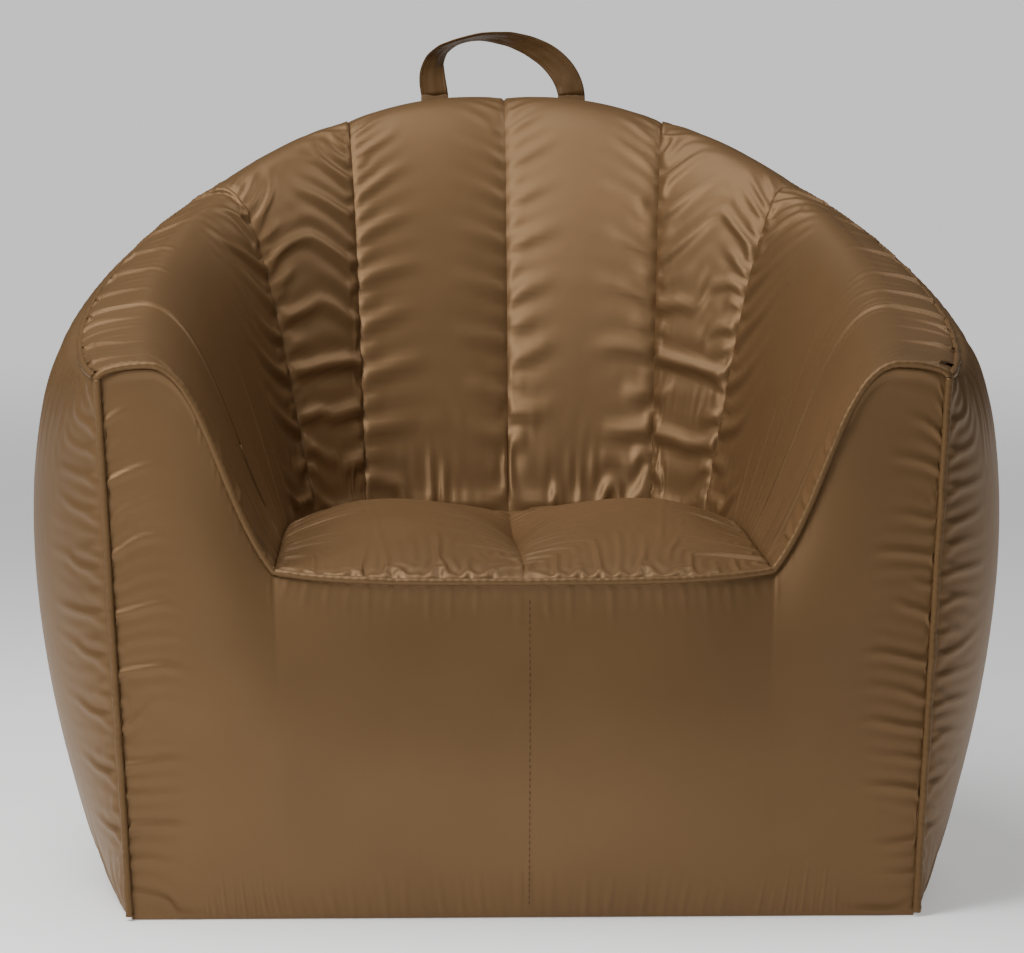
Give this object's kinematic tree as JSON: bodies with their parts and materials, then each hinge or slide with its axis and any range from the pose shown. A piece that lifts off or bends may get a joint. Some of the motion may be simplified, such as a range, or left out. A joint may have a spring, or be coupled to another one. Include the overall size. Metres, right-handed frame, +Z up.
{
  "type": "bean bag chair",
  "caption": "Armchair-shaped bean bag: a sewn, piped cloth cover over loose beads, with a carry handle at the top of the back and a zip in the base",
  "frame": {"origin": "on the floor, at the centre of the base's bounding box", "axes": "X towards the sitter's left hand, Y to the back of the chair, Z up; the open front faces -Y"},
  "size_m": [0.7734, 0.7126, 0.6843],
  "materials": {
    "cover_cloth": "satin coated polyester, smooth, soft broad sheen",
    "piping_cloth": "satin, bias cut from the cover's cloth",
    "piping_cord": "matt twisted cotton",
    "strap_webbing": "satin folded strap with stitched edges",
    "zip_tape": "matt woven tape",
    "zip_coil": "moulded nylon",
    "zip_metal": "dark plated metal",
    "beads": "matt white expanded beads"
  },
  "bodies": {
    "cover": {"left_front_panel": "cover_cloth", "right_front_panel": "cover_cloth", "left_seat_panel": "cover_cloth", "right_seat_panel": "cover_cloth", "left_arm_panel": "cover_cloth", "right_arm_panel": "cover_cloth", "left_outer_back_gore": "cover_cloth", "right_outer_back_gore": "cover_cloth", "left_inner_back_gore": "cover_cloth", "right_inner_back_gore": "cover_cloth", "left_side_panel": "cover_cloth", "right_side_panel": "cover_cloth", "left_rear_panel": "cover_cloth", "right_rear_panel": "cover_cloth", "front_base_panel": "cover_cloth", "rear_base_panel": "cover_cloth", "front_piping": "piping_cloth", "front_piping_cord": "piping_cord", "rim_piping": "piping_cloth", "rim_piping_cord": "piping_cord", "left_side_piping": "piping_cloth", "left_side_piping_cord": "piping_cord", "right_side_piping": "piping_cloth", "right_side_piping_cord": "piping_cord", "left_handle_tab": "strap_webbing", "right_handle_tab": "strap_webbing", "front_zip_tape": "zip_tape", "rear_zip_tape": "zip_tape", "front_zip_coil": "zip_coil", "rear_zip_coil": "zip_coil", "zip_stops": "zip_metal", "bead_fill": "beads"},
    "handle": {"carry_handle": "strap_webbing"},
    "slider": {"zip_slider": "zip_metal"}
  },
  "joints": [
    {"name": "handle_swing", "type": "hinge", "parent": "cover", "child": "handle", "pos_m": [0, 0.29321, 0.63014], "axis": [1, 0, 0], "range_deg": [-120, 60], "stiffness_Nm_per_rad": 0.02},
    {"name": "zip_slide", "type": "slide", "parent": "cover", "child": "slider", "axis": [1, 0, 0], "range_m": [-0.366, 0]}
  ]
}
